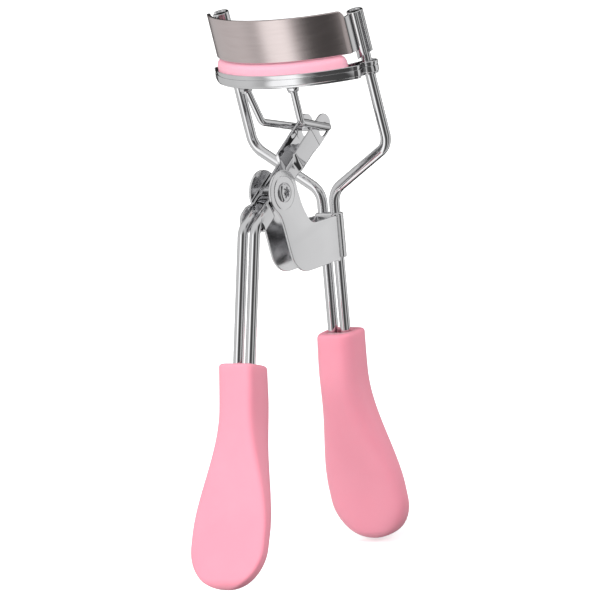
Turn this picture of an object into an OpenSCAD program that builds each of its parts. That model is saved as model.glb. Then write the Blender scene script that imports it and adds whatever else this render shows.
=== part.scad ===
// Eyelash curler: two curved jaws closed by a scissor lever, with soft grips.
// Millimetres. X runs across the jaws, Z runs along the guide wires, and the
// lever side of the tool points to -Y. The tool is drawn closed.

/* [Jaws] */
// Outer radius of the upper plate
plate_r = 19.8; // [17:0.5:24]
// Distance of the jaw arc's centre behind the guide wires
arc_y = 7.5; // [5:0.1:10]
// Thickness of the upper plate
plate_t = 0.7; // [0.5:0.1:1.2]
// Height of the upper plate
plate_h = 8.6; // [6:0.2:12]
// Level of the upper plate's lower edge at the arc's centre
lip_z = 5.9; // [5:0.1:8]
// Half angle of the upper plate
plate_half_deg = 55; // [45:1:60]
// Forward rise of both jaws' edges against the guide wires
jaw_pitch = 9.5; // [0:0.5:12]
// Width of the silicone pad
pad_w = 2.7; // [2:0.1:4]
// Half angle of the silicone pad
pad_half_deg = 47.5; // [45:1:55]
// Gap between the closed pad and the upper plate
pad_gap = 0.1; // [0.05:0.05:0.5]
// Height of the lower jaw's channel
carrier_h = 2.6; // [2:0.1:4]
// Sheet thickness of the lower jaw
carrier_t = 0.5; // [0.4:0.1:0.8]
// Depth of the lower jaw's underside below the plate's lower edge
carrier_drop = 4.95; // [4:0.05:6]
// Half angle of the lower jaw's arc
carrier_half_deg = 60; // [55:1:64]

/* [Frame wires] */
// Diameter of the frame and lever wires
wire_d = 2.0; // [1.6:0.1:2.6]
// Half the distance between the guide wires
wire_x = 16; // [14:0.5:19]
// Top of the guide wires
wire_top_z = 15; // [12:0.5:18]
// Half the distance between the wires in a handle
pair_x = 1.45; // [1.1:0.05:2]
// Bend radius where a guide wire turns inwards
shoulder_r = 4; // [2:0.5:8]
// Bend radius where the two wires meet
waist_r = 4; // [2:0.5:6]
// Length of the guide wire below the jaw datum
shoulder_z = -12.6; // [-16:0.2:-10]
// Level where the two wires meet
waist_z = -21.5; // [-26:0.5:-18]
// Position of the wires across the tool where they meet
waist_y = -1.4; // [-4:0.1:2]
// Lean of the frame wires below the waist
frame_lean = 14.4; // [5:0.2:20]
// Length of the frame wires below the waist
frame_leg = 43; // [30:1:60]

/* [Guide posts] */
// Sheet thickness of a guide post
post_t = 0.6; // [0.4:0.1:1]
// Lower end of a guide post
post_z = 5.2; // [5:0.1:8]
// Top of a guide post
post_top_z = 15.2; // [12:0.2:18]
// Width of the seam in a folded guide post
seam_w = 0.5; // [0.2:0.1:1]

/* [Pivot bracket] */
// Pivot position behind the guide wires
pivot_y = -17.5; // [-20:0.2:-14]
// Pivot level
pivot_z = -15.2; // [-18:0.2:-12]
// Distance between the insides of the cheeks
cheek_gap = 4.2; // [4:0.1:6]
// Sheet thickness of the bracket
cheek_t = 0.5; // [0.4:0.1:0.8]
// Radius of the round head of a cheek
head_r = 4.4; // [3.5:0.1:6]
// Radius of the pressed ring on a cheek
ring_r = 3.3; // [2.5:0.1:4]
// Radius of the lower lobe of a cheek
lobe_r = 5.2; // [4:0.1:7]
// Diameter of the rivet's shank
rivet_d = 2.4; // [2:0.1:3]
// Diameter of the rivet's heads
rivet_head_d = 3.8; // [3:0.1:5]
// Thickness of the rivet's heads
rivet_head_h = 0.5; // [0.3:0.1:1]
// Running clearance around the rivet
rivet_play = 0.05; // [0.01:0.01:0.1]

/* [Lever] */
// Distance from the pivot to the link holes
arm_len = 17.9; // [15:0.1:20]
// Angle of the lever's arm above the Y axis with the jaws closed
arm_deg = 20.5; // [15:0.5:26]
// Half width of the lever's fork
fork_x = 2.3; // [2:0.05:3]
// Half width of the lever's neck
neck_x = 1.9; // [1.6:0.05:2.1]
// Half width of the lever's wire socket
socket_x = 2.95; // [2.7:0.05:3.2]
// Sheet thickness of the lever
lever_t = 0.5; // [0.4:0.1:0.8]
// Height of the slotted link holes
slot_h = 2.3; // [1.8:0.1:2.6]
// Length of the slotted link holes
slot_l = 2.9; // [2.8:0.1:3.2]
// Lean of the lever's wires
lever_lean = 26; // [15:0.5:35]
// Length of the lever's wires below their bend
lever_leg = 43; // [25:1:50]

/* [Link] */
// Diameter of the link wire
link_d = 1.4; // [1:0.1:1.8]
// Half the distance between the link's legs at the jaw
link_top_x = 5.6; // [4:0.1:8]
// Half the distance between the link's legs at their knee
link_knee_x = 4.65; // [3.5:0.05:6]
// Level of the link's knee
link_knee_z = -3.7; // [-6:0.1:-1]
// Position of the link's knee across the tool
link_knee_y = -9.9; // [-12:0.1:-8]
// Half the width of the link at the fork
link_pin_x = 3.25; // [3:0.05:4]

/* [Grips] */
// Length of a grip
grip_l = 42; // [38:1:55]
// Width of a grip at its top
grip_w = 7.6; // [6:0.2:10]
// Width of a grip's paddle
paddle_w = 17; // [12:0.5:22]
// Thickness of a grip at its top
grip_t = 7; // [5:0.2:9]
// Thickness of a grip's paddle
paddle_t = 4.4; // [3:0.2:7]
// Lean of the frame's grip
frame_grip_lean = 8; // [0:0.5:20]
// Lean of the lever's grip
lever_grip_lean = 28; // [20:0.5:40]
// Depth of the wires inside a grip
grip_depth = 16; // [8:1:30]

/* [Hidden] */
$fn = 96;
big = 100;
eps = 0.02;
wire_r = wire_d / 2;
link_r = link_d / 2;
rivet_r = rivet_d / 2;
cheek_in = cheek_gap / 2;
cheek_out = cheek_in + cheek_t;
pad_out = plate_r + 0.3;
pad_in = pad_out - pad_w;
pad_mid = (pad_out + pad_in) / 2;
carrier_out = pad_out + carrier_t;
carrier_in = pad_in - carrier_t;
pad_floor = carrier_t - carrier_drop;
eye_z = lip_z + (arc_y * sin(jaw_pitch) - carrier_drop) / cos(jaw_pitch);
lobe_bore_r = wire_r + 0.08;
eye_r = 2.0;
post_r = wire_r + post_t;
waist = [0, waist_y, waist_z];
frame_dir = [0, -sin(frame_lean), -cos(frame_lean)];
frame_end = waist + frame_leg * frame_dir;
wrap_top = 4.1;
wrap_h = 8.6;
socket_in = socket_x - lever_t;
lever_pair = socket_in - wire_r - eps;
socket_far = -9.6;
socket_near = -4.7;
lever_knee = -10.6;
link_hole_y = pivot_y + arm_len * cos(arm_deg);
link_hole_z = pivot_z + arm_len * sin(arm_deg);
pin_shift = 0.6;
pin_y = link_hole_y + pin_shift * cos(arm_deg);
pin_z = link_hole_z + pin_shift * sin(arm_deg);
link_arc_y = -sqrt(pad_mid * pad_mid - link_top_x * link_top_x);
link_top_y = arc_y + link_arc_y * cos(jaw_pitch) - carrier_drop * sin(jaw_pitch);
link_top_z = lip_z - link_arc_y * sin(jaw_pitch) - carrier_drop * cos(jaw_pitch);
link_knee_lean = link_knee_y - link_top_y;
collar_r = 1.25;
collar_h = 1.1;
grip_top_frame = waist + (frame_leg - grip_depth) * frame_dir;
lever_dir = [0, -sin(lever_lean), -cos(lever_lean)];
knee_y = pivot_y + lever_knee * cos(arm_deg);
knee_z = pivot_z + lever_knee * sin(arm_deg);
grip_top_lever = [0, knee_y, knee_z] + (lever_leg - grip_depth) * lever_dir;

box_middle = [0, -29.66, -35.747];

steel = [0.8, 0.8, 0.82];
rose = [0.74, 0.66, 0.65];
pink = [0.98, 0.6, 0.72];
pad_pink = [1, 0.71, 0.79];

// A wire bent through the points of a path, with one radius per inner point.
function unit(v) = v / norm(v);
function heading(p, i) = unit(p[i + 1] - p[i]);
function turn(p, i) = acos(heading(p, i - 1) * heading(p, i));
function trim(p, radii, i) =
    (i == 0 || i == len(p) - 1) ? 0 : radii[i - 1] * tan(turn(p, i) / 2);
// How far a straight run reaches into the bend at its end.
function lap(p, i) = (i == 0 || i == len(p) - 1) ? 0 : 0.05;
function frame_of(ex, ey, o) = let (ez = cross(ex, ey))
    [[ex[0], ey[0], ez[0], o[0]], [ex[1], ey[1], ez[1], o[1]],
    [ex[2], ey[2], ez[2], o[2]], [0, 0, 0, 1]];

module straight(a, b, d) {
    v = b - a;
    translate(a)
        rotate([0, acos(v[2] / norm(v)), atan2(v[1], v[0])])
            cylinder(h = norm(v), d = d);
}

module elbow(p, radii, i, d) {
    u = heading(p, i - 1);
    v = heading(p, i);
    inward = unit(v - u);
    centre = p[i] + inward * radii[i - 1] / cos(turn(p, i) / 2);
    start = p[i] - u * trim(p, radii, i);
    multmatrix(frame_of(unit(start - centre), u, centre))
        rotate_extrude(angle = turn(p, i))
            translate([radii[i - 1], 0])
                circle(d = d - eps);
}

module bent_wire(p, radii, d) {
    for (i = [0 : len(p) - 2])
        straight(p[i] + heading(p, i) * (trim(p, radii, i) - lap(p, i)),
            p[i + 1] - heading(p, i) * (trim(p, radii, i + 1) - lap(p, i + 1)), d);
    for (i = [1 : len(p) - 2])
        elbow(p, radii, i, d);
}

module centred() {
    translate(-box_middle)
        children();
}

// The jaws' own frame: its origin is on the arc's axis, level with the plate's
// lower edge, and its z axis stands square to both jaws' edges.
module on_jaw() {
    translate([0, arc_y, lip_z])
        rotate([-jaw_pitch, 0, 0])
            children();
}

// A sector of a ring around the jaw arc, open to -Y.
module jaw_sector(half) {
    rotate([0, 0, -90 - half])
        rotate_extrude(angle = 2 * half)
            children();
}

module upper_plate() {
    color(rose) centred()
        difference() {
            intersection() {
                translate([0, arc_y, 0])
                    jaw_sector(plate_half_deg)
                        translate([plate_r - plate_t, 0])
                            square([plate_t, big]);
                on_jaw()
                    translate([-big / 2, -big / 2, 0])
                        cube([big, big, plate_h]);
            }
            for (s = [-1, 1])
                on_jaw()
                    translate([0, 0, plate_h])
                        rotate([0, 0, -90 + s * plate_half_deg])
                            rotate([45, 0, 0])
                                cube([big, 1.2, 1.2], center = true);
        }
}

// The flat flange that joins a folded post to the end of the plate.
module post_flange() {
    r = plate_r - (plate_t + post_t) / 2 - 0.1;
    end = [r * sin(plate_half_deg - 0.5), arc_y - r * cos(plate_half_deg - 0.5)];
    run = [wire_x, 0] - end;
    translate([end[0], end[1], post_z + 0.8])
        rotate([0, 0, atan2(run[1], run[0])])
            translate([0, -post_t / 2, 0])
                cube([norm(run) - wire_r - post_t / 2, post_t, post_top_z - post_z - 1.1]);
}

module guide_post(s) {
    color(steel) centred()
        mirror([s < 0 ? 1 : 0, 0, 0])
            difference() {
                union() {
                    translate([wire_x, 0, post_z])
                        cylinder(h = post_top_z - post_z, r = post_r);
                    post_flange();
                }
                translate([wire_x, 0, 0])
                    cylinder(h = big, r = wire_r + eps);
                translate([wire_x, 0, 0])
                    rotate([0, 0, -15])
                        translate([0, -seam_w / 2, 0])
                            cube([2 * post_r, seam_w, big]);
                translate([wire_x - post_r - 0.1, 0, post_z])
                    rotate([0, -25, 0])
                        translate([-big / 2, -big / 2, -big])
                            cube([big, big, big]);
            }
}

module guide_post_left() {
    guide_post(-1);
}

module guide_post_right() {
    guide_post(1);
}

module frame_wire(s) {
    color(steel) centred()
        bent_wire([[s * wire_x, 0, wire_top_z], [s * wire_x, 0, shoulder_z],
            [s * pair_x, waist_y, waist_z],
            [s * pair_x, frame_end[1], frame_end[2]]],
            [shoulder_r, waist_r], wire_d);
}

module frame_wire_left() {
    frame_wire(-1);
}

module frame_wire_right() {
    frame_wire(1);
}

// The outline of a cheek, drawn with y across the tool and z as its height.
module cheek_outline() {
    translate([pivot_y, pivot_z])
        circle(r = head_r);
    translate([-14.6, -27])
        circle(r = lobe_r);
    polygon([[-21.1, -17.4], [-19.9, -19.6], [-19.8, -26.6], [-15.2, -32.2],
        [-5.4, -33.9], [-3.4, -26], [-6.2, -25], [-8.7, -24.5], [-11.3, -23.7],
        [-12.5, -21.6], [-13.1, -19], [-13.2, -16.5], [-17, -14.6]]);
}

// Stands a (y, z) outline up as a sheet of thickness t from x0 outwards.
module side_sheet(x0, t) {
    rotate([90, 0, 90])
        translate([0, 0, x0])
            linear_extrude(t)
                children();
}

module along_frame_legs() {
    translate(waist)
        rotate([-frame_lean, 0, 0])
            children();
}

module wrap_section(r) {
    for (s = [-1, 1])
        translate([s * pair_x, 0])
            circle(r = r);
    translate([-pair_x, -r])
        square([2 * pair_x, 2 * r]);
}

module pivot_bracket() {
    color(steel) centred()
        difference() {
            union() {
                side_sheet(cheek_in, cheek_t)
                    cheek_outline();
                side_sheet(-cheek_out, cheek_t)
                    cheek_outline();
                along_frame_legs()
                    translate([0, 0, -wrap_top - wrap_h])
                        linear_extrude(wrap_h)
                            wrap_section(wire_r + cheek_t);
                for (s = [-1, 1])
                    translate([s * (cheek_in + 0.1), pivot_y, pivot_z])
                        rotate([0, s * 90, 0])
                            cylinder(h = cheek_t, r = ring_r);
            }
            along_frame_legs()
                translate([0, 0, -wrap_top - wrap_h - 1])
                    linear_extrude(wrap_h + 2)
                        wrap_section(wire_r + eps);
            translate([0, pivot_y, pivot_z])
                rotate([0, 90, 0])
                    cylinder(h = big, r = rivet_r, center = true);
        }
}

module pivot_rivet() {
    color(steel) centred()
        translate([0, pivot_y, pivot_z])
            rotate([0, 90, 0])
                difference() {
                    union() {
                        cylinder(h = 2 * (cheek_out + 0.1), r = rivet_r, center = true);
                        for (s = [-1, 1])
                            translate([0, 0, s * (cheek_out + 0.1 + rivet_head_h / 2)])
                                cylinder(h = rivet_head_h, d = rivet_head_d, center = true);
                    }
                    for (s = [-1, 1])
                        translate([0, 0, s * (cheek_out + 0.1 + rivet_head_h)])
                            cylinder(h = 1.6, r = 0.8, center = true);
                }
}

// A grip hangs down -Z from its top, with its flat outer face on the +Y side.
function ease(t) = t <= 0 ? 0 : t >= 1 ? 1 : t * t * (3 - 2 * t);
function round_end(t, from) =
    t <= from ? 1 : sqrt(max(0, 1 - pow((t - from) / (1 - from), 2)));
function half_width(t) = round_end(t, 0.81) * (grip_w / 2
    + (paddle_w - grip_w) / 2 * ease((t - 0.2) / 0.56));
function depth(t) = paddle_t + (grip_t - paddle_t) * (1 - ease((t - 0.22) / 0.6))
    + 0.4 * ease(t / 0.2) * (1 - ease((t - 0.2) / 0.2));
function tip_cut(t) = paddle_t / 2 * (1 - round_end(t, 0.95));
steps = [0, 0.1, 0.2, 0.26, 0.32, 0.38, 0.44, 0.5, 0.56, 0.62, 0.68, 0.74, 0.8,
    0.84, 0.88, 0.91, 0.94, 0.96, 0.975, 0.99, 0.998];
tip_steps = [0, 0.95, 0.97, 0.985, 0.998];

module grip_front() {
    polygon(concat([for (t = steps) [half_width(t), -t * grip_l]],
        [for (k = [1 : len(steps)])
            [-half_width(steps[len(steps) - k]), -steps[len(steps) - k] * grip_l]]));
}

module grip_side() {
    polygon(concat([for (t = tip_steps) [grip_t / 2 - tip_cut(t), -t * grip_l]],
        [for (k = [1 : len(steps)])
            let (t = steps[len(steps) - k])
            [grip_t / 2 - depth(t) + tip_cut(t), -t * grip_l]]));
}

module grip_body() {
    intersection() {
        rotate([90, 0, 0])
            linear_extrude(2 * grip_t, center = true)
                grip_front();
        rotate([90, 0, 90])
            linear_extrude(2 * paddle_w, center = true)
                grip_side();
    }
}

// The bores that hold a handle's two wires, leaning against the grip's axis.
module wire_bores(x, lean) {
    for (s = [-1, 1])
        translate([s * x, 0, 0])
            rotate([-lean, 0, 0])
                translate([0, 0, -grip_depth])
                    cylinder(h = 2 * grip_depth, r = wire_r);
}

module frame_grip() {
    color(pink) centred()
        translate(grip_top_frame)
            rotate([-frame_grip_lean, 0, 0])
                difference() {
                    grip_body();
                    wire_bores(pair_x, frame_lean - frame_grip_lean);
                }
}

module jaw_carrier() {
    color(steel) centred()
        difference() {
            union() {
                on_jaw()
                    jaw_sector(carrier_half_deg)
                        translate([carrier_in, -carrier_drop])
                            square([carrier_out - carrier_in, carrier_h]);
                for (s = [-1, 1])
                    translate([s * wire_x, 0, eye_z + 0.1])
                        cylinder(h = carrier_h - 0.2, r = eye_r);
            }
            on_jaw()
                jaw_sector(pad_half_deg + 5)
                    translate([pad_in, pad_floor])
                        square([pad_w, big]);
            for (s = [-1, 1])
                translate([s * wire_x, 0, -big / 2])
                    cylinder(h = big, r = lobe_bore_r);
        }
}

module pad_section() {
    translate([pad_in, pad_floor])
        square([pad_w, -pad_gap - pad_w / 2 - pad_floor]);
    translate([pad_mid, -pad_gap - pad_w / 2])
        circle(d = pad_w);
}

// What is cut away past one end of the pad to round it in plan.
module pad_end_cut(s) {
    rotate([0, 0, -90 + s * pad_half_deg])
        translate([pad_mid, 0, -big / 2])
            difference() {
                translate([-pad_w, s > 0 ? 0 : -2 * pad_w, 0])
                    cube([2 * pad_w, 2 * pad_w, big]);
                translate([0, 0, -1])
                    cylinder(h = 2 * big, r = pad_w / 2 + 0.12);
            }
}

module lash_pad() {
    color(pad_pink) centred()
        on_jaw()
            difference() {
                jaw_sector(pad_half_deg + 6)
                    pad_section();
                pad_end_cut(-1);
                pad_end_cut(1);
            }
}

module link_wire() {
    color(steel) centred()
        bent_wire([[link_top_x, link_top_y, link_top_z],
            [link_knee_x, link_knee_y, link_knee_z],
            [link_pin_x, pin_y, pin_z], [-link_pin_x, pin_y, pin_z],
            [-link_knee_x, link_knee_y, link_knee_z],
            [-link_top_x, link_top_y, link_top_z]],
            [1.5, 0.9, 0.9, 1.5], link_d);
}

module link_collar(s) {
    color(steel) centred()
        difference() {
            translate([s * link_top_x, link_top_y, link_top_z])
                rotate([-jaw_pitch, 0, 0])
                    translate([0, 0, -collar_h])
                        cylinder(h = collar_h, r = collar_r);
            straight([s * link_top_x, link_top_y, link_top_z]
                - 3 * unit([s * (link_knee_x - link_top_x), link_knee_lean, link_knee_z - link_top_z]),
                [s * link_knee_x, link_knee_y, link_knee_z], link_d);
        }
}

module link_collar_left() {
    link_collar(-1);
}

module link_collar_right() {
    link_collar(1);
}

// The lever's own frame: y runs from the pivot along the arm, z to its open side.
module on_lever() {
    translate([0, pivot_y, pivot_z])
        rotate([arm_deg, 0, 0])
            children();
}

module both_sheets(x) {
    for (x0 = [x - lever_t, -x])
        side_sheet(x0, lever_t)
            children();
}

module fork_outline() {
    difference() {
        union() {
            translate([7, -1.5])
                square([arm_len - 6, 4.2]);
            translate([arm_len + 0.7, 0.6])
                circle(r = 2.1);
        }
        for (y = [-1, 1])
            translate([arm_len + y * (slot_l - slot_h) / 2, 0])
                circle(d = slot_h);
        translate([arm_len - (slot_l - slot_h) / 2, -slot_h / 2])
            square([slot_l - slot_h, slot_h]);
    }
}

module lever_channel() {
    color(steel) centred()
        on_lever()
            difference() {
                union() {
                    both_sheets(fork_x)
                        fork_outline();
                    translate([-fork_x, 7, -1.5])
                        cube([2 * fork_x, arm_len - 10, lever_t]);
                    for (s = [-1, 1])
                        translate([s * (fork_x + neck_x - lever_t) / 2, 7.4, 0])
                            cube([fork_x - neck_x + lever_t, 0.8, 2.4], center = true);
                    both_sheets(neck_x)
                        translate([socket_near - 0.8, -1.5])
                            square([7.7 - socket_near, 2.8]);
                    translate([-neck_x, socket_near - 0.8, -1.5])
                        cube([2 * neck_x, 8.5 - socket_near, lever_t]);
                    both_sheets(socket_x)
                        translate([socket_far, -1.5])
                            square([socket_near - socket_far, 2.8]);
                    translate([-socket_x, socket_far, -1.5])
                        cube([2 * socket_x, socket_near - socket_far, lever_t]);
                    for (s = [-1, 1])
                        translate([s * (socket_x + neck_x - lever_t) / 2, socket_near - 0.4, -0.1])
                            cube([socket_x - neck_x + lever_t, 0.8, 2.8], center = true);
                }
                rotate([0, 90, 0])
                    cylinder(h = big, r = rivet_r + rivet_play, center = true);
            }
}

module lever_wire(s) {
    color(steel) centred()
        bent_wire([[s * lever_pair, pivot_y + (socket_near - 1) * cos(arm_deg),
            pivot_z + (socket_near - 1) * sin(arm_deg)],
            [s * lever_pair, knee_y, knee_z],
            [s * lever_pair, knee_y + lever_leg * lever_dir[1],
            knee_z + lever_leg * lever_dir[2]]],
            [3], wire_d);
}

module lever_wire_left() {
    lever_wire(-1);
}

module lever_wire_right() {
    lever_wire(1);
}

module lever_grip() {
    color(pink) centred()
        translate(grip_top_lever)
            rotate([-lever_grip_lean, 0, 0])
                mirror([0, 1, 0])
                    difference() {
                        grip_body();
                        mirror([0, 1, 0])
                            wire_bores(lever_pair, lever_lean - lever_grip_lean);
                    }
}

upper_plate();
guide_post_left();
guide_post_right();
frame_wire_left();
frame_wire_right();
pivot_bracket();
pivot_rivet();
frame_grip();
jaw_carrier();
lash_pad();
link_wire();
link_collar_left();
link_collar_right();
lever_channel();
lever_wire_left();
lever_wire_right();
lever_grip();
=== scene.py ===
import math

import bmesh
import bpy
from mathutils import Matrix, Vector

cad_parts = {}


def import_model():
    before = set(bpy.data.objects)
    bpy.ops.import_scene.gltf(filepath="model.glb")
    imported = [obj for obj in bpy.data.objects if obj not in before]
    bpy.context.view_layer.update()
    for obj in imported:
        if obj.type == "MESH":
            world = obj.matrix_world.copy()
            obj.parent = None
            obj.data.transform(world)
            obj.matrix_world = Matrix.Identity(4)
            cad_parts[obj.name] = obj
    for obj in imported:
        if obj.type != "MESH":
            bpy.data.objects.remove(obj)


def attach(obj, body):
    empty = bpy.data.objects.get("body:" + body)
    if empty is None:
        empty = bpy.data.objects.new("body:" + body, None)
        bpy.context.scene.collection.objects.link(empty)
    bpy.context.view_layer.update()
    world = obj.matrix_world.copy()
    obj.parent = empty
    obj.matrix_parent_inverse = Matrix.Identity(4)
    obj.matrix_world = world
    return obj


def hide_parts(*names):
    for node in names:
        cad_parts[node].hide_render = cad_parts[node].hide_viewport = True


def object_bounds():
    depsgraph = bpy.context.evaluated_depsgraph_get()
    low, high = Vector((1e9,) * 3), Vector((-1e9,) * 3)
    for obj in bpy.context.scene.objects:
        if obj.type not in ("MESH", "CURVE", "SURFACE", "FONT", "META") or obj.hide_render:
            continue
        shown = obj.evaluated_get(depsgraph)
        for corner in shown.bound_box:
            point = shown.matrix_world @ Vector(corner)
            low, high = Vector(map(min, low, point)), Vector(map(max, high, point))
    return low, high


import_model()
cad_lo, cad_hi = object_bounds()

# Shape sizes are written in millimetres, in the tool's own coordinates: the
# origin is midway between the guide wires. MIDDLE moves them to the row frame.
MM = 0.001
MIDDLE = Vector((0, -29.66, -35.747))

# Jaw sizes, shared with the CAD.
PLATE_R, ARC_Y, PLATE_T, PLATE_H = 19.8, 7.5, 0.7, 8.6
LIP_Z, PLATE_HALF, PITCH = 5.9, 55.0, 9.5
PAD_OUT, PAD_W, PAD_HALF = 20.1, 2.7, 47.5
PAD_MID = PAD_OUT - PAD_W / 2
CARRIER_OUT, CARRIER_IN, CARRIER_TOP, CARRIER_LOW = 20.6, 16.9, -2.35, -4.95
CARRIER_HALF, EYE_R, FLOOR_HALF = 56.0, 1.95, 57.0
PAD_LOW, PAD_TOP = -4.4, -0.12

# The frame's wires, posts and bracket. Leans are in degrees from upright, and
# the sleeve's ends are measured from the waist along the legs.
WIRE_R, WIRE_X, PAIR_X, WIRE_TOP, BEND_R = 1.0, 16.0, 1.45, 15.0, 4.0
SHOULDER_Z = -12.6
WAIST = Vector((0, -1.4, -21.5))
FRAME_LEAN, LEVER_LEAN = 14.4, 26.0
FRAME_LEG, LEVER_LEG = 43.0, 43.0
POST_T, POST_LOW, POST_TOP, POST_SLANT = 0.6, 5.2, 15.2, 25.0
PIVOT = Vector((0, -17.5, -15.2))
HEAD_R, LOBE_Y, LOBE_Z, LOBE_R = 4.4, -14.6, -27.0, 5.2
CHEEK_IN, CHEEK_T, RIVET_HOLE_R = 2.1, 0.5, 1.22
SLEEVE_TOP, SLEEVE_LOW = -4.1, -12.7

# The lever and the link. Places along the arm are measured from the pivot, and
# the link's pin stands PIN_SHIFT past the middle of its slot when closed.
ARM_DEG, ARM_LEN, ARM_BEND, SOCKET_FAR = 20.5, 17.9, -10.6, -9.6
SOCKET_HALF, NECK_HALF, FORK_HALF, SHEET_T, FOLD_LOW = 2.95, 1.9, 2.3, 0.5, -1.5
NECK_AT, FORK_AT, EAR_FROM, EAR_R, EAR_SHIFT = -5.0, 7.3, 14.7, 2.1, 0.7
SLOT_L, SLOT_H, PIN_SHIFT = 2.9, 2.3, 0.6
LEVER_WIRE_FROM, LEVER_BEND_R, WIRE_GAP = -5.7, 3.0, 0.02
LINK_R, LINK_TOP_X, LINK_PIN_X = 0.7, 5.6, 3.25
LINK_KNEE = Vector((4.65, -9.9, -3.7))

# The grips. The lever's shows a little longer than the frame's.
GRIP_L, GRIP_W, PADDLE_W, GRIP_T, PADDLE_T, GRIP_DEPTH = 42.0, 8.2, 17.4, 7.4, 4.4, 16.0
FRAME_GRIP_LEAN, LEVER_GRIP_LEAN = 8.0, 28.0
FRAME_GRIP_CUT, LEVER_GRIP_GROW, GRIP_BOW = 0.6, 1.3, 6.0

# The camera: where it looks from, its distance, the width of its picture at
# the tool in metres, and the place it aims at in millimetres.
CAMERA_TURN, CAMERA_RISE, CAMERA_ROLL = 38.88, 17.63, 14.01
CAMERA_DISTANCE, VIEW_WIDTH, AIM_RIGHT, AIM_UP = 3.7, 0.1145, 7.62, 1.31

# The room that the steel reflects: how bright it is at each part of a turn,
# with dark flags between soft panels, and how bright its ceiling is.
ROOM = [
    (0.0, 0.66), (0.10, 0.72), (0.155, 0.55), (0.195, 1.25), (0.255, 1.35), (0.30, 0.30), (0.33, 0.09),
    (0.42, 0.07), (0.45, 0.50), (0.50, 0.62), (0.53, 0.05), (0.57, 0.04), (0.60, 0.72), (0.68, 0.78),
    (0.72, 0.30), (0.76, 0.50), (0.79, 0.03), (0.90, 0.02), (0.93, 0.60), (1.0, 0.66),
]
CEILING, CEILING_FROM, CEILING_TO = 0.75, 0.55, 0.85
FLOOR_SIZE, FLOOR_GLOW, FLOOR_GAP = 6.0, 0.42, 0.0002


def rot_x(deg):
    return Matrix.Rotation(math.radians(deg), 4, "X")


def hand_name(side):
    return "right" if side > 0 else "left"


def mirror_x(side):
    return Matrix.Diagonal((side, 1, 1, 1))


def across_x(x, y=0.0, z=0.0):
    """Stands a piece up: its own x, y and z become the tool's y, z and x."""
    return Matrix(((0, 0, 1, x), (1, 0, 0, y), (0, 1, 0, z), (0, 0, 0, 1)))


def down(lean):
    """The direction a handle hangs in, leaning to -Y."""
    a = math.radians(lean)
    return Vector((0, -math.sin(a), -math.cos(a)))


JAW = Matrix.Translation((0, ARC_Y, LIP_Z)) @ rot_x(-PITCH)
ARM = Matrix.Translation(PIVOT) @ rot_x(ARM_DEG)
LEVER_KNEE = ARM @ Vector((0, ARM_BEND, 0))


# ---------------------------------------------------------------- mesh tools
def finish_mesh(name, bm, smooth_deg, place):
    """A bmesh in millimetres becomes an object in the row frame."""
    bmesh.ops.remove_doubles(bm, verts=bm.verts, dist=1e-5)
    bmesh.ops.recalc_face_normals(bm, faces=bm.faces)
    mesh = bpy.data.meshes.new(name)
    bm.to_mesh(mesh)
    bm.free()
    mesh.transform(Matrix.Diagonal((MM, MM, MM, 1)) @ Matrix.Translation(-MIDDLE) @ place)
    if place.determinant() < 0:
        mesh.flip_normals()
    mesh.shade_smooth()
    mesh.set_sharp_from_angle(angle=math.radians(smooth_deg))
    obj = bpy.data.objects.new(name, mesh)
    bpy.context.scene.collection.objects.link(obj)
    return obj


def loft(name, rings, closed=True, caps=True, smooth_deg=40, place=None, loop=False):
    """A surface through rings of points that all have the same length."""
    bm = bmesh.new()
    rows = [[bm.verts.new(p) for p in ring] for ring in rings]
    count = len(rows[0])
    pairs = list(zip(rows, rows[1:])) + ([(rows[-1], rows[0])] if loop else [])
    for low, high in pairs:
        for i in range(count if closed else count - 1):
            j = (i + 1) % count
            bm.faces.new((low[i], low[j], high[j], high[i]))
    if caps and not loop:
        for ring in (rows[0], rows[-1]):
            bm.faces.new(ring)
    return finish_mesh(name, bm, smooth_deg, place or Matrix.Identity(4))


def rounded_path(points, radii, step=5.0):
    """A path with its inner corners turned into arcs."""
    pts = [Vector(p) for p in points]
    out = [pts[0]]
    for i in range(1, len(pts) - 1):
        a = (pts[i] - pts[i - 1]).normalized()
        b = (pts[i + 1] - pts[i]).normalized()
        angle = a.angle(b)
        back = radii[i - 1] * math.tan(angle / 2)
        inward = (b - a).normalized()
        centre = pts[i] + inward * radii[i - 1] / math.cos(angle / 2)
        first = pts[i] - a * back - centre
        axis = a.cross(b).normalized()
        count = max(3, round(math.degrees(angle) / step))
        for k in range(count + 1):
            out.append(centre + Matrix.Rotation(angle * k / count, 3, axis) @ first)
    out.append(pts[-1])
    return out


def tube(name, path, radius, segments=28, place=None, end_round=0.25):
    """A round wire along a path, with rounded ends."""
    tangents = []
    for i in range(len(path)):
        before = path[max(0, i - 1)]
        after = path[min(len(path) - 1, i + 1)]
        tangents.append((after - before).normalized())
    side = Vector((1, 0, 0))
    quarter = [math.radians(a) for a in (0, 30, 60, 90)]
    start = [(end_round * (1 - math.cos(a)), 1 - end_round * (1 - math.sin(a)) / radius) for a in quarter]
    stop = [(-end_round * (1 - math.sin(a)), 1 - end_round * (1 - math.cos(a)) / radius) for a in quarter]
    rings = []
    for i, tangent in enumerate(tangents):
        side = (side - tangent * side.dot(tangent)).normalized()
        other = tangent.cross(side)
        steps = start if i == 0 else stop if i == len(path) - 1 else [(0, 1.0)]
        for shift, share in steps:
            centre = path[i] + tangent * shift
            ring = []
            for k in range(segments):
                a = 2 * math.pi * k / segments
                ring.append(centre + (side * math.cos(a) + other * math.sin(a)) * radius * share)
            rings.append(ring)
    return loft(name, rings, smooth_deg=50, place=place)


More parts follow.
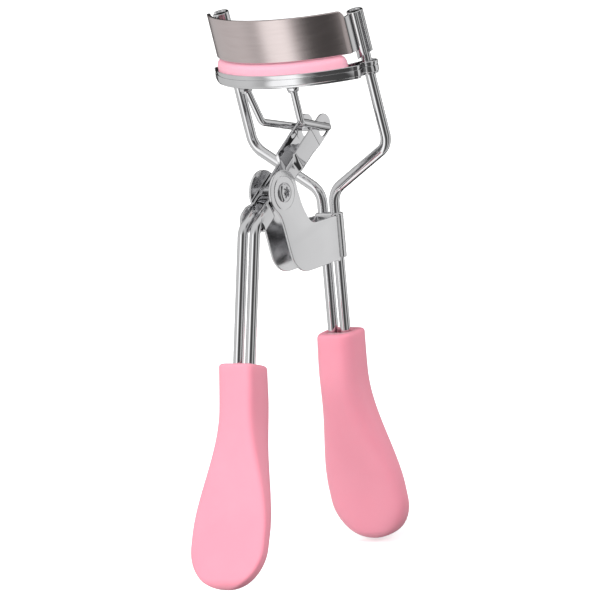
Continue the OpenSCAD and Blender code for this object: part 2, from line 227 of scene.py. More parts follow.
def catmull(points, per=6, closed=True):
    """A smooth line through 2-D points."""
    pts = [Vector(p) for p in points]
    n = len(pts)
    out = []
    for i in range(n if closed else n - 1):
        if closed:
            p0, p1, p2, p3 = (pts[(i + k - 1) % n] for k in range(4))
        else:
            p0, p1, p2, p3 = (pts[min(n - 1, max(0, i + k - 1))] for k in range(4))
        for k in range(per):
            t = k / per
            out.append(0.5 * ((2 * p1) + (p2 - p0) * t + (2 * p0 - 5 * p1 + 4 * p2 - p3) * t * t
                              + (3 * p1 - p0 - 3 * p2 + p3) * t ** 3))
    if not closed:
        out.append(pts[-1])
    return out


def sheet(name, outlines, thick, bevel, place, smooth_deg=50):
    """A flat sheet from an outline and its holes, with rounded edges. Local z is its thickness."""
    curve = bpy.data.curves.new(name, "CURVE")
    curve.dimensions = "2D"
    curve.fill_mode = "BOTH"
    curve.extrude = (thick / 2 - bevel) * MM
    curve.bevel_depth = bevel * MM
    curve.offset = -bevel * MM
    curve.bevel_resolution = 2
    for outline in outlines:
        spline = curve.splines.new("POLY")
        spline.points.add(len(outline) - 1)
        for point, co in zip(spline.points, outline):
            point.co = (co[0] * MM, co[1] * MM, 0, 1)
        spline.use_cyclic_u = True
    temp = bpy.data.objects.new(name + "_curve", curve)
    bpy.context.scene.collection.objects.link(temp)
    bpy.context.view_layer.update()
    mesh = bpy.data.meshes.new_from_object(temp.evaluated_get(bpy.context.evaluated_depsgraph_get()))
    bpy.data.objects.remove(temp)
    bm = bmesh.new()
    bm.from_mesh(mesh)
    bmesh.ops.scale(bm, vec=(1 / MM, 1 / MM, 1 / MM), verts=bm.verts)
    bmesh.ops.remove_doubles(bm, verts=bm.verts, dist=1e-4)
    return finish_mesh(name, bm, smooth_deg, place)


def turned(r, z, a):
    return Vector((r * math.cos(a), r * math.sin(a), z))


def lathe(name, profile, place, segments=48, smooth_deg=40, point=turned):
    """A turned piece: profile is (radius, height) along its side, and point places one of its vertices."""
    rings = []
    for r, z in profile:
        rings.append([point(r, z, 2 * math.pi * k / segments) for k in range(segments)])
    return loft(name, rings, smooth_deg=smooth_deg, place=place)


def arc(x, y, r, start, stop, count):
    """Points on an arc, from one angle to another, both in degrees and both included."""
    out = []
    for k in range(count + 1):
        a = math.radians(start + (stop - start) * k / count)
        out.append((x + r * math.cos(a), y + r * math.sin(a)))
    return out


def soft_edges(obj, width, angle=50):
    """Rounds a sheet's sharp edges with a bevel modifier."""
    bevel = obj.modifiers.new("soft_edges", "BEVEL")
    bevel.width = width * MM
    bevel.segments = 3
    bevel.limit_method = "ANGLE"
    bevel.angle_limit = math.radians(angle)


def on_arc(direction_deg, r, z=0.0):
    """A point on the jaw's plan: the angle runs from the front towards +X."""
    a = math.radians(direction_deg)
    return Vector((r * math.sin(a), -r * math.cos(a), z))


# ---------------------------------------------------------------- materials
def new_material(name):
    mat = bpy.data.materials.new(name)
    mat.use_nodes = True
    return mat, mat.node_tree, mat.node_tree.nodes["Principled BSDF"]


def add(tree, kind, **values):
    node = tree.nodes.new(kind)
    for key, value in values.items():
        if key in node.inputs:
            node.inputs[key].default_value = value
        else:
            setattr(node, key, value)
    return node


def object_noise(tree, scale, stretch, detail=4.0):
    """Noise in the object's own coordinates, stretched along the axes."""
    coords = add(tree, "ShaderNodeTexCoord")
    mapping = add(tree, "ShaderNodeMapping")
    mapping.inputs["Scale"].default_value = stretch
    noise = add(tree, "ShaderNodeTexNoise", Scale=scale, Detail=detail)
    tree.links.new(coords.outputs["Object"], mapping.inputs["Vector"])
    tree.links.new(mapping.outputs["Vector"], noise.inputs["Vector"])
    return noise


def two_tone(tree, noise, shader, low, high, start=0.35, end=0.65):
    ramp = add(tree, "ShaderNodeValToRGB")
    ramp.color_ramp.elements[0].position = start
    ramp.color_ramp.elements[1].position = end
    ramp.color_ramp.elements[0].color = (*low, 1)
    ramp.color_ramp.elements[1].color = (*high, 1)
    tree.links.new(noise.outputs["Fac"], ramp.inputs["Fac"])
    tree.links.new(ramp.outputs["Color"], shader.inputs["Base Color"])


def rough_range(tree, noise, shader, low, high):
    spread = add(tree, "ShaderNodeMapRange")
    spread.inputs["From Min"].default_value = 0.3
    spread.inputs["From Max"].default_value = 0.7
    spread.inputs["To Min"].default_value = low
    spread.inputs["To Max"].default_value = high
    tree.links.new(noise.outputs["Fac"], spread.inputs["Value"])
    tree.links.new(spread.outputs["Result"], shader.inputs["Roughness"])


def bumpy(tree, noise, shader, strength, distance):
    bump = add(tree, "ShaderNodeBump", Strength=strength, Distance=distance)
    tree.links.new(noise.outputs["Fac"], bump.inputs["Height"])
    tree.links.new(bump.outputs["Normal"], shader.inputs["Normal"])


def steel(name, low, high, rough, scale=300, stretch=(1, 1, 1), bump=0.02, anisotropic=0.0):
    mat, tree, shader = new_material(name)
    shader.inputs["Metallic"].default_value = 1.0
    shader.inputs["Anisotropic"].default_value = anisotropic
    broad = object_noise(tree, scale * 0.2, stretch)
    fine = object_noise(tree, scale, stretch)
    two_tone(tree, broad, shader, low, high)
    rough_range(tree, broad, shader, *rough)
    bumpy(tree, fine, shader, bump, 0.0001)
    return mat


def soft(name, low, high, rough, scale, bump, subsurface, coat=0.0, sheen=0.0):
    mat, tree, shader = new_material(name)
    shader.inputs["Subsurface Weight"].default_value = subsurface
    shader.inputs["Subsurface Radius"].default_value = (0.003, 0.001, 0.0012)
    shader.inputs["Subsurface Scale"].default_value = 0.5
    shader.inputs["Coat Weight"].default_value = coat
    shader.inputs["Coat Roughness"].default_value = 0.35
    shader.inputs["Sheen Weight"].default_value = sheen
    shader.inputs["Sheen Roughness"].default_value = 0.4
    broad = object_noise(tree, 60, (1, 1, 1))
    fine = object_noise(tree, scale, (1, 1, 1), 6.0)
    two_tone(tree, broad, shader, low, high)
    rough_range(tree, broad, shader, *rough)
    bumpy(tree, fine, shader, bump, 0.0001)
    return mat


CHROME = steel("chrome", (0.70, 0.70, 0.71), (0.76, 0.76, 0.77), (0.04, 0.08), bump=0.01)
SATIN = steel("satin_chrome", (0.78, 0.78, 0.79), (0.82, 0.82, 0.83), (0.15, 0.19), scale=700, bump=0.015)
ROSE = steel("rose_steel", (0.66, 0.575, 0.565), (0.69, 0.605, 0.595), (0.22, 0.26), scale=900,
             stretch=(1, 1, 10), bump=0.03, anisotropic=0.2)
PINK = soft("soft_touch_pink", (0.95, 0.33, 0.43), (0.97, 0.36, 0.46), (0.42, 0.52), 2600, 0.10, 0.08,
            coat=0.12, sheen=0.15)
PAD = soft("pad_silicone", (0.97, 0.46, 0.57), (1.0, 0.50, 0.61), (0.38, 0.46), 1800, 0.06, 0.15)


def done(obj, material, body, slot, *nodes):
    """Gives a piece its material, the body it rides on and the CAD nodes it stands for."""
    obj.data.materials.clear()
    obj.data.materials.append(material)
    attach(obj, body)
    if nodes:
        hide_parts(*nodes)
    return obj


# ---------------------------------------------------------------- upper plate
def plate_low(y):
    return LIP_Z - (y - ARC_Y) * math.tan(math.radians(PITCH))


def upper_plate():
    """A curved sheet whose edges are pitched, with rounded rims and corners."""
    rim, corner, count = 0.12, 0.9, 72
    high = PLATE_H / math.cos(math.radians(PITCH))
    outer, inner = PLATE_R, PLATE_R - PLATE_T
    middle = (outer + inner) / 2
    rings = []
    for i in range(count + 1):
        theta = -PLATE_HALF + 2 * PLATE_HALF * i / count
        from_end = math.radians(PLATE_HALF - abs(theta)) * PLATE_R
        top = high - corner * (1 - math.sqrt(max(0.0, 1 - (1 - min(1.0, from_end / 1.1)) ** 2)))
        profile = [(outer - rim, 0), (outer, rim), (outer, high / 2), (outer, top - rim), (outer - rim, top),
                   (inner + rim, top), (inner, top - rim), (inner, high / 2), (inner, rim), (inner + rim, 0)]
        thin = 0.65 if i in (0, count) else 1.0
        ring = []
        for r, z in profile:
            p = on_arc(theta, middle + (r - middle) * thin)
            ring.append(Vector((p.x, ARC_Y + p.y, plate_low(ARC_Y + p.y) + z)))
        rings.append(ring)
    obj = loft("upper_plate_skin", rings, smooth_deg=35)
    done(obj, ROSE, "frame", "rose_steel", "upper_plate")


# ---------------------------------------------------------------- guide posts
def post_tube(side):
    """A strip folded round the top of a guide wire, open along a seam, cut on a slant below."""
    inner, outer, rim, count = WIRE_R + 0.03, WIRE_R + POST_T, 0.08, 44
    first, last = -4.0, 312.0
    slant = math.tan(math.radians(POST_SLANT))
    rings = []
    for i in range(count + 1):
        a = math.radians(first + (last - first) * i / count)
        fade = rim if i in (0, count) else 0.0
        corners = []
        for r in (inner + fade, outer - fade):
            x, y = WIRE_X + r * math.cos(a), r * math.sin(a)
            low = POST_LOW + (x - (WIRE_X - outer - 0.1)) * slant + fade
            high = POST_TOP - 0.05 - fade
            corners.append([Vector((x * side, y, z)) for z in (low, high)])
        (in_low, in_high), (out_low, out_high) = corners
        rings.append([in_low, in_high, out_high, out_low])
    name = hand_name(side)
    obj = loft("guide_post_tube_" + name, rings)
    soft_edges(obj, 0.12)
    done(obj, CHROME, "frame", "plated_steel", "guide_post_" + name)


def post_flange(side):
    """The flange that joins a post's tube to the end of the plate."""
    start = on_arc(PLATE_HALF - 2.0, PLATE_R - PLATE_T / 2 - 0.25) + Vector((0, ARC_Y, 0))
    stop = Vector((WIRE_X - 0.3, -WIRE_R - 0.32, 0))
    near = start.lerp(stop, 0.35) + Vector((0.12, 0, 0))
    far = start.lerp(stop, 0.75) + Vector((0.1, 0, 0))
    path = catmull([start, near, far, stop], 5, closed=False)
    last = len(path) - 1
    half_t, high = 0.27, POST_TOP - 0.25
    rings = []
    for i, p in enumerate(path):
        t = (path[min(last, i + 1)] - path[max(0, i - 1)]).normalized()
        n = Vector((t.y, -t.x, 0)) * half_t
        low = plate_low(start.y) - 0.35 * i / last
        ring = [(p - n, low), (p + n, low), (p + n, high), (p - n, high)]
        rings.append([Vector((q.x * side, q.y, z)) for q, z in ring])
    flange = loft("guide_post_flange_" + hand_name(side), rings)
    soft_edges(flange, 0.1)
    done(flange, CHROME, "frame", "plated_steel")


# ---------------------------------------------------------------- frame wires
def frame_wire(side):
    end = WAIST + down(FRAME_LEAN) * FRAME_LEG
    guide, leg = side * WIRE_X, side * PAIR_X
    corners = [(guide, 0, WIRE_TOP), (guide, 0, SHOULDER_Z), (leg, WAIST.y, WAIST.z), (leg, end.y, end.z)]
    name = hand_name(side)
    obj = tube("frame_wire_bent_" + name, rounded_path(corners, [BEND_R, BEND_R]), WIRE_R, 32)
    done(obj, CHROME, "frame", "plated_steel", "frame_wire_" + name)


# ---------------------------------------------------------------- bracket
def cheek_outline():
    """A round head, a straight waist, a round lobe and the arm that reaches the sleeve."""
    front = [(-13.25, -16.3), (-13.2, -15.0), (-13.6, -13.2)]
    head = arc(PIVOT.y, PIVOT.z, HEAD_R, 50, 170, 4)
    waist = [(-21.63, -16.5), (-20.75, -18.0), (-20.05, -19.6), (-19.85, -22.0), (-19.8, -25.0), (-19.75, -26.8)]
    lobe = arc(LOBE_Y, LOBE_Z, LOBE_R, 200, 247.4, 2) + [(-14.6, -32.3)]
    arm = [(-11.0, -32.95), (-7.0, -33.6), (-5.6, -33.9), (-4.6, -30.0), (-3.6, -26.1), (-4.9, -25.3),
           (-6.6, -24.95), (-8.9, -24.5), (-10.8, -24.0), (-11.8, -23.0), (-12.5, -21.4), (-13.0, -19.3)]
    return catmull(front + head + waist + lobe + arm, 5)


def cheek(side):
    """A flat cheek with a round head, and the ring pressed in it round the rivet."""
    name = hand_name(side)
    hole = arc(PIVOT.y, PIVOT.z, RIVET_HOLE_R, 0, 360 * 31 / 32, 31)
    place = mirror_x(side) @ across_x(CHEEK_IN + CHEEK_T / 2)
    obj = sheet("bracket_cheek_" + name, [cheek_outline(), hole], CHEEK_T, 0.14, place)
    done(obj, SATIN, "frame", "plated_steel", "pivot_bracket")
    profile = [(1.25, -0.1), (1.3, 0.06), (2.9, 0.1), (3.15, 0.08), (3.32, 0.03), (3.4, -0.05)]
    place = mirror_x(side) @ across_x(CHEEK_IN + CHEEK_T, PIVOT.y, PIVOT.z)
    ring = lathe("bracket_ring_" + name, profile, place, 64)
    done(ring, SATIN, "frame", "plated_steel")


def stadium(half, r, count=12):
    """A closed outline round two wires that lie side by side along X."""
    out = []
    for s in (1, -1):
        for k in range(count + 1):
            a = math.radians(-90 + 180 * k / count) if s > 0 else math.radians(90 + 180 * k / count)
            out.append((s * half + r * math.cos(a), r * math.sin(a)))
    return out


def sleeve():
    """The part of the bracket folded round the two wires, rolled at its ends, with a fold on each side."""
    place = Matrix.Translation(WAIST) @ rot_x(-FRAME_LEAN)
    top, low = SLEEVE_TOP, SLEEVE_LOW
    roll = [(0.02, 0.6), (0.12, 0.1), (0.3, 0.0), (0.45, 0.1), (0.5, 0.35)]
    levels = [(WIRE_R + grow, top - z) for grow, z in roll]
    levels.append((WIRE_R + 0.5, (top + low) / 2))
    levels += [(WIRE_R + grow, low + z) for grow, z in reversed(roll)]
    rings = [[Vector((x, y, z)) for x, y in stadium(PAIR_X, r)] for r, z in levels]
    obj = loft("bracket_sleeve", rings, caps=False, smooth_deg=50, place=place)
    done(obj, SATIN, "frame", "plated_steel")
    for side in (1, -1):
        x, y = side * (PAIR_X + 1.1), -1.02
        path = [Vector((x, y, z)) for z in (top - 0.2, (top + low) / 2, low + 0.2)]
        fold = tube("bracket_fold_" + hand_name(side), path, 0.16, 12, place, 0.1)
        done(fold, SATIN, "frame", "plated_steel")


def star(r, z, a):
    """Makes the recess in a rivet's head six-pointed."""
    grow = 1 + (0.22 * math.cos(6 * a) if 0.2 < r < 1.0 else 0.0)
    return turned(r * grow, z, a)


def rivet():
    """A shank with two domed heads, each with a star-shaped recess."""
    half = CHEEK_IN + CHEEK_T + 0.1
    profile = [(1.2, -half), (1.2, 0.0), (1.85, 0.0), (1.9, 0.08), (1.88, 0.2), (1.72, 0.36), (1.4, 0.46),
               (1.15, 0.48), (0.98, 0.44), (0.9, 0.25), (0.85, -0.6), (0.3, -0.8), (0.02, -0.85)]
    for side in (1, -1):
        place = mirror_x(side) @ across_x(half, PIVOT.y, PIVOT.z)
        obj = lathe("rivet_" + hand_name(side), profile, place, 72, 35, star)
        done(obj, CHROME, "frame", "plated_steel", "pivot_rivet")


# ---------------------------------------------------------------- lower jaw
def eye_centre():
    """Where a guide wire crosses the carrier's middle, in the jaw's plan."""
    back = JAW.inverted()
    t = (CARRIER_TOP + CARRIER_LOW) / 2
    low, high = back @ Vector((WIRE_X, 0, 0)), back @ Vector((WIRE_X, 0, 10))
    return low.lerp(high, (t - low.z) / (high.z - low.z))


def carrier_outline():
    """The carrier's outer boundary in plan, looped round both guide wires."""
    eye = eye_centre()
    facing = math.degrees(math.atan2(eye.y, eye.x))
    half = [on_arc(CARRIER_HALF * k / 24, CARRIER_OUT) for k in range(25)]
    half += [Vector(p) for p in arc(eye.x, eye.y, EYE_R, facing - 62, facing + 128, 14)]
    half += [on_arc(CARRIER_HALF * (24 - k) / 24, CARRIER_IN) for k in range(25)]
    smooth = catmull([(p.x, p.y) for p in half], 3, closed=False)
    mirrored = [Vector((-p.x, p.y)) for p in reversed(smooth)][1:-1]
    return smooth + mirrored


def carrier_wall():
    """The channel's side: rolled at its top edge, with a groove under it and a bead at its foot."""
    outline = carrier_outline()
    rolled_edge = [(-0.5, -4.55), (-0.5, -2.45), (-0.42, -2.35), (-0.1, -2.35), (0, -2.45), (0, -3.0)]
    groove = [(-0.04, -3.08), (-0.16, -3.12), (-0.16, -3.22), (-0.04, -3.26), (0.0, -3.34)]
    foot = [(0.02, -4.25), (0.0, -4.4), (-0.1, -4.48), (-0.14, -4.56), (-0.12, -4.66), (-0.2, -4.85),
            (-0.42, -4.95), (-0.62, -4.93)]
    rings = []
    for i, p in enumerate(outline):
        t = (outline[(i + 1) % len(outline)] - outline[i - 1]).normalized()
        n = Vector((t.y, -t.x))
        rings.append([Vector((p.x + n.x * o, p.y + n.y * o, z)) for o, z in rolled_edge + groove + foot])
    wall = loft("jaw_channel_wall", rings, smooth_deg=32, place=JAW, loop=True)
    done(wall, CHROME, "lower_jaw", "plated_steel", "jaw_carrier")


def carrier_floor():
    """The channel's flat bottom, between its two sides."""
    outer, inner, top, low = CARRIER_OUT - 0.3, CARRIER_IN + 0.3, CARRIER_LOW + 0.45, CARRIER_LOW + 0.05
    section = [(outer, low), (outer, top), (inner, top), (inner, low)]
    rings = []
    for k in range(61):
        theta = -FLOOR_HALF + 2 * FLOOR_HALF * k / 60
        rings.append([on_arc(theta, r, z) for r, z in section])
    floor_plate = loft("jaw_channel_floor", rings, place=JAW)
    done(floor_plate, CHROME, "lower_jaw", "plated_steel")


def lash_pad():
    """A bead of silicone with a round top and rounded ends."""
    half = PAD_W / 2
    section = [(-half, z) for z in (PAD_LOW, -3.2, -2.2)]
    section += arc(0, PAD_TOP - half, half, 180, 0, 12)
    section += [(half, z) for z in (-2.2, -3.2, PAD_LOW)]
    reach = math.degrees(half / PAD_MID)
    ends = []
    for k in range(8):
        a = math.radians(90 * k / 8)
        ends.append((PAD_HALF + reach * math.cos(a), max(0.05, math.sin(a))))
    stations = [(-theta, share) for theta, share in ends]
    stations += [(-PAD_HALF + 2 * PAD_HALF * k / 48, 1.0) for k in range(49)]
    stations += reversed(ends)
    rings = []
    for theta, share in stations:
        top = 0.55 + 0.45 * share
        rings.append([on_arc(theta, PAD_MID + r * share, PAD_LOW + (z - PAD_LOW) * top) for r, z in section])
    obj = loft("lash_pad_bead", rings, smooth_deg=60, place=JAW)
    done(obj, PAD, "lower_jaw", "pad_silicone", "lash_pad")


LINK_TOP = JAW @ Vector((LINK_TOP_X, -math.sqrt(PAD_MID ** 2 - LINK_TOP_X ** 2), CARRIER_LOW))


def link_wire():
    """One bent wire: two legs down from the carrier, and a pin through the lever's fork."""
    pin = ARM @ Vector((0, ARM_LEN + PIN_SHIFT, 0))
    right = [LINK_TOP, LINK_KNEE, Vector((LINK_PIN_X, pin.y, pin.z))]
    left = [mirror_x(-1) @ p for p in reversed(right)]
    path = rounded_path(right + left, [1.5, 0.9, 0.9, 1.5], 8)
    done(tube("link_wire_bent", path, LINK_R, 24), CHROME, "lower_jaw", "plated_steel", "link_wire")


def facets(r, z, a):
    """Makes the wide part of a collar six-sided, with soft corners."""
    edge = math.pi / 3
    flat = math.cos(edge / 2) / math.cos((a % edge) - edge / 2)
    grow = 0.35 + 0.65 * flat if r > 1.1 else 1.0
    return turned(r * grow, z, a)


def link_collar(side):
    """The collar under the carrier that a leg of the link comes out of."""
    base = mirror_x(side) @ LINK_TOP
    along = (mirror_x(side) @ LINK_KNEE - base).normalized()
    axis = (along + JAW.to_3x3() @ Vector((0, 0, -1))).normalized()
    place = Matrix.Translation(base) @ axis.to_track_quat("Z", "X").to_matrix().to_4x4()
    profile = [(0.6, -0.05), (1.18, -0.05), (1.28, 0.06), (1.28, 0.5), (1.2, 0.62), (1.06, 0.66),
               (1.02, 0.74), (1.08, 0.84), (1.05, 0.98), (0.92, 1.08), (0.7, 1.1)]
    name = hand_name(side)
    obj = lathe("link_collar_turned_" + name, profile, place, 48, 35, facets)
    done(obj, CHROME, "lower_jaw", "plated_steel", "link_collar_" + name)


# ---------------------------------------------------------------- lever
def blend_step(s, where, width):
    t = min(1.0, max(0.0, (s - where) / width + 0.5))
    return t * t * (3 - 2 * t)


def lever_half(s):
    """Half the channel's width, at s along the arm."""
    neck = (NECK_HALF - SOCKET_HALF) * blend_step(s, NECK_AT, 1.5)
    fork = (FORK_HALF - NECK_HALF) * blend_step(s, FORK_AT, 1.5)
    return SOCKET_HALF + neck + fork


def lever_high(s):
    """The top edge of the channel's sides: low at the wires, high in the fork."""
    taper = 2.2 * max(0.0, (-7.4 - s) / 2.2) ** 2
    return 1.35 + 1.35 * blend_step(s, FORK_AT, 1.2) - taper


def lever_channel():
    """A folded channel: wide at the wires, narrow between the cheeks, then a fork."""
    rings = []
    for s in [SOCKET_FAR + 0.3 * k for k in range(82)] + [EAR_FROM + 0.2]:
        half, high = lever_half(s), lever_high(s)
        r = 0.75 - 0.6 * max(0.0, s - 12.5) / 2.4
        right = [(half, high), (half, (high + FOLD_LOW + r) / 2)]
        right += arc(half - r, FOLD_LOW + r, r, 0, -90, 6)
        left = [(-x, z) for x, z in reversed(right)]
        rings.append([Vector((x, s, z)) for x, z in right + [(0, FOLD_LOW)] + left])
    obj = loft("lever_channel_folded", rings, closed=False, caps=False, smooth_deg=50, place=ARM)
    wall = obj.modifiers.new("sheet", "SOLIDIFY")
    wall.thickness = SHEET_T * MM
    wall.offset = -1
    soft_edges(obj, 0.1, 55)
    done(obj, CHROME, "lever", "plated_steel", "lever_channel")


def lever_ear(side):
    """One side of the fork: a round end with a slot for the link's pin."""
    low, high, run = FOLD_LOW, FOLD_LOW + 2 * EAR_R, (SLOT_L - SLOT_H) / 2
    tip = arc(ARM_LEN + EAR_SHIFT, low + EAR_R, EAR_R, -90, 90, 12)
    slot = arc(ARM_LEN + run, 0, SLOT_H / 2, -90, 90, 12) + arc(ARM_LEN - run, 0, SLOT_H / 2, 90, 270, 12)
    place = ARM @ mirror_x(side) @ across_x(FORK_HALF - SHEET_T / 2)
    outline = [(EAR_FROM, low)] + tip + [(EAR_FROM, high)]
    plate = sheet("lever_ear_" + hand_name(side), [outline, slot], SHEET_T, 0.1, place)
    done(plate, CHROME, "lever", "plated_steel")


def lever_wire(side):
    x = side * (SOCKET_HALF - SHEET_T - WIRE_R - WIRE_GAP)
    top = ARM @ Vector((0, LEVER_WIRE_FROM, 0))
    end = LEVER_KNEE + down(LEVER_LEAN) * LEVER_LEG
    path = rounded_path([(x, p.y, p.z) for p in (top, LEVER_KNEE, end)], [LEVER_BEND_R])
    name = hand_name(side)
    obj = tube("lever_wire_bent_" + name, path, WIRE_R, 32)
    done(obj, CHROME, "lever", "plated_steel", "lever_wire_" + name)


# ---------------------------------------------------------------- grips
def ease(t):
    t = min(1.0, max(0.0, t))
    return t * t * (3 - 2 * t)


def round_end(t, start):
    return 1.0 if t <= start else math.sqrt(max(0.0, 1 - ((t - start) / (1 - start)) ** 2))


def grip_width(t):
    return round_end(t, 0.81) * (GRIP_W / 2 + (PADDLE_W - GRIP_W) / 2 * ease((t - 0.2) / 0.56))


def grip_depth(t):
    return (PADDLE_T + (GRIP_T - PADDLE_T) * (1 - ease((t - 0.22) / 0.6))
            + 0.4 * ease(t / 0.2) * (1 - ease((t - 0.2) / 0.2)))


def grip_ring(t, z, inset=0.0, count=72):
    """A section with a nearly flat outer face (+Y) and a fuller, rounder inner face."""
    cut = PADDLE_T / 2 * (1 - round_end(t, 0.95))
    outer = GRIP_T / 2 - cut
    inner = GRIP_T / 2 - grip_depth(t) + cut
    middle = outer - (outer - inner) * (0.42 - 0.1 * ease((t - 0.2) / 0.5))
    half = max(0.05, grip_width(t) - inset)
    bow = -GRIP_BOW * t * (1 - t)
    ring = []
    flat, full = 5.0, 3.2 - 0.7 * ease((t - 0.15) / 0.4)
    for k in range(count):
        a = 2 * math.pi * k / count
        c, s = math.cos(a), math.sin(a)
        power = flat if s > 0 else full
        x = half * math.copysign(abs(c) ** (2 / power), c)
        reach = (outer - inset - middle) if s > 0 else (middle - inner - inset)
        ring.append(Vector((x, middle + bow + reach * math.copysign(abs(s) ** (2 / power), s), z)))
    return ring


def slot_ring(z, half, thick, count=72):
    """The recess that the two wires enter."""
    ring = []
    for k in range(count):
        a = 2 * math.pi * k / count
        c, s = math.cos(a), math.sin(a)
        x = half * math.copysign(abs(c) ** 0.5, c)
        ring.append(Vector((x, thick * math.copysign(abs(s) ** 0.7, s), z)))
    return ring


def grip(name, place, body, node, length):
    """A moulded handle that hangs from its top, which is rounded round the wires' recess."""
    rings = [slot_ring(-1.4, 2.5, 1.12), slot_ring(-0.3, 2.5, 1.12), slot_ring(-0.02, 2.75, 1.35)]
    for inset, z in ((0.75, 0.0), (0.5, -0.05), (0.25, -0.18), (0.08, -0.4), (0.0, -0.75)):
        rings.append(grip_ring(-z / length, z, inset))
    steps = [0.04 + 0.90 * k / 44 for k in range(45)] + [0.955, 0.965, 0.975, 0.983, 0.99, 0.995, 0.998]
    for t in steps:
        rings.append(grip_ring(t, -t * length))
    obj = loft(name, rings, smooth_deg=60, place=place)
    done(obj, PINK, body, "soft_grip", node)


def grips():
    top = WAIST + down(FRAME_LEAN) * (FRAME_LEG - GRIP_DEPTH)
    place = Matrix.Translation(top) @ rot_x(-FRAME_GRIP_LEAN)
    grip("frame_grip_moulded", place, "frame", "frame_grip", GRIP_L - FRAME_GRIP_CUT)
    top = LEVER_KNEE + down(LEVER_LEAN) * (LEVER_LEG - GRIP_DEPTH - LEVER_GRIP_GROW)
    place = Matrix.Translation(top) @ rot_x(-LEVER_GRIP_LEAN) @ Matrix.Diagonal((1, -1, 1, 1))
    grip("lever_grip_moulded", place, "lever", "lever_grip", GRIP_L + LEVER_GRIP_GROW)


upper_plate()
for hand in (1, -1):
    post_tube(hand)
    post_flange(hand)
    frame_wire(hand)
    cheek(hand)
    lever_wire(hand)
sleeve()
rivet()
carrier_wall()
carrier_floor()
lash_pad()
link_wire()
link_collar(1)
link_collar(-1)
lever_channel()
lever_ear(1)
lever_ear(-1)
grips()


# ---------------------------------------------------------------- set
def floor():
    """A pale plane with a faint glow, left out of what the tool's own surfaces reflect."""
    mesh = bpy.data.meshes.new("floor")
    bm = bmesh.new()
    bmesh.ops.create_grid(bm, x_segments=1, y_segments=1, size=FLOOR_SIZE)
    bm.to_mesh(mesh)
    bm.free()
    obj = bpy.data.objects.new("floor", mesh)
    obj.location.z = cad_lo.z - FLOOR_GAP
    bpy.context.scene.collection.objects.link(obj)
    mat, tree, shader = new_material("pale_floor")
    broad = object_noise(tree, 2.0, (1, 1, 1))
    two_tone(tree, broad, shader, (0.93, 0.93, 0.93), (0.95, 0.95, 0.95))
    shader.inputs["Roughness"].default_value = 0.9
    shader.inputs["Emission Color"].default_value = (1, 1, 1, 1)
    shader.inputs["Emission Strength"].default_value = FLOOR_GLOW
    obj.data.materials.append(mat)
    obj.visible_glossy = False
    obj.visible_diffuse = False


def area(name, place, size, power):
    """A square light that faces the tool and is not itself seen."""
    light = bpy.data.lights.new(name, "AREA")
    light.energy = power
    light.shape = "SQUARE"
    light.size = size
    obj = bpy.data.objects.new(name, light)
    obj.location = place
    obj.rotation_euler = (-Vector(place)).to_track_quat("-Z", "Y").to_euler()
    obj.visible_camera = False
    obj.visible_glossy = False
    bpy.context.scene.collection.objects.link(obj)


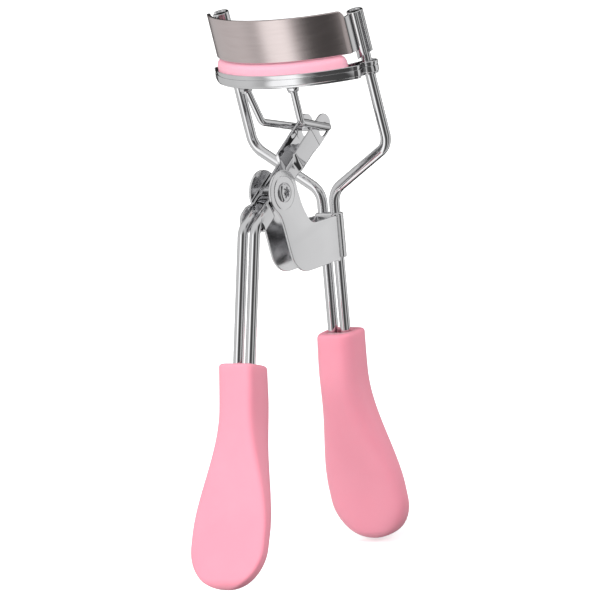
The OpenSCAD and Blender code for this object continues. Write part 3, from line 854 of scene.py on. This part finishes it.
def world():
    """White to the camera. Every other ray sees the banded room."""
    scene_world = bpy.data.worlds.new("studio")
    bpy.context.scene.world = scene_world
    scene_world.use_nodes = True
    tree = scene_world.node_tree
    back = tree.nodes["Background"]
    out = tree.nodes["World Output"]
    coords = add(tree, "ShaderNodeTexCoord")
    split = add(tree, "ShaderNodeSeparateXYZ")
    angle = add(tree, "ShaderNodeMath", operation="ARCTAN2")
    tree.links.new(coords.outputs["Generated"], split.inputs["Vector"])
    tree.links.new(split.outputs["Y"], angle.inputs[0])
    tree.links.new(split.outputs["X"], angle.inputs[1])
    around = add(tree, "ShaderNodeMapRange")
    around.inputs["From Min"].default_value = -math.pi
    around.inputs["From Max"].default_value = math.pi
    tree.links.new(angle.outputs["Value"], around.inputs["Value"])
    ramp = add(tree, "ShaderNodeValToRGB")
    ramp.color_ramp.interpolation = "EASE"
    for where, value in ROOM[1:-1]:
        ramp.color_ramp.elements.new(where).color = (value, value, value, 1)
    for element, (where, value) in zip(ramp.color_ramp.elements, ROOM):
        element.color = (value, value, value, 1)
    tree.links.new(around.outputs["Result"], ramp.inputs["Fac"])
    height = add(tree, "ShaderNodeMapRange")
    height.inputs["From Min"].default_value = CEILING_FROM
    height.inputs["From Max"].default_value = CEILING_TO
    tree.links.new(split.outputs["Z"], height.inputs["Value"])
    roof = add(tree, "ShaderNodeMix", data_type="RGBA")
    roof.inputs[7].default_value = (CEILING, CEILING, CEILING, 1)
    tree.links.new(height.outputs["Result"], roof.inputs[0])
    tree.links.new(ramp.outputs["Color"], roof.inputs[6])
    tree.links.new(roof.outputs[2], back.inputs["Color"])
    back.inputs["Strength"].default_value = 1.0
    seen = add(tree, "ShaderNodeBackground")
    seen.inputs["Color"].default_value = (1, 1, 1, 1)
    path = add(tree, "ShaderNodeLightPath")
    mix = add(tree, "ShaderNodeMixShader")
    tree.links.new(path.outputs["Is Camera Ray"], mix.inputs["Fac"])
    tree.links.new(back.outputs["Background"], mix.inputs[1])
    tree.links.new(seen.outputs["Background"], mix.inputs[2])
    tree.links.new(mix.outputs["Shader"], out.inputs["Surface"])


def camera():
    """Looks from the lever's side, a little above, with the tool's top leaning left in the picture."""
    a, e, roll = (math.radians(v) for v in (CAMERA_TURN, CAMERA_RISE, CAMERA_ROLL))
    back = Vector((math.sin(a) * math.cos(e), -math.cos(a) * math.cos(e), math.sin(e)))
    right = Vector((math.cos(a), math.sin(a), 0))
    up = back.cross(right)
    aim = (right * AIM_RIGHT + up * AIM_UP) * MM
    data = bpy.data.cameras.new("camera")
    data.sensor_width = 36
    data.lens = data.sensor_width * CAMERA_DISTANCE / VIEW_WIDTH
    data.clip_start, data.clip_end = 0.05, 40
    obj = bpy.data.objects.new("camera", data)
    x = right * math.cos(roll) - up * math.sin(roll)
    y = right * math.sin(roll) + up * math.cos(roll)
    turn = Matrix((x, y, back)).transposed()
    obj.matrix_world = Matrix.Translation(aim + back * CAMERA_DISTANCE) @ turn.to_4x4()
    bpy.context.scene.collection.objects.link(obj)
    bpy.context.scene.camera = obj


floor()
world()
area("key", place=(-0.5, -1.0, 0.9), size=1.6, power=13)
area("side", place=(0.9, -0.4, 0.5), size=0.35, power=6)
camera()
bpy.context.scene.view_settings.view_transform = "Standard"
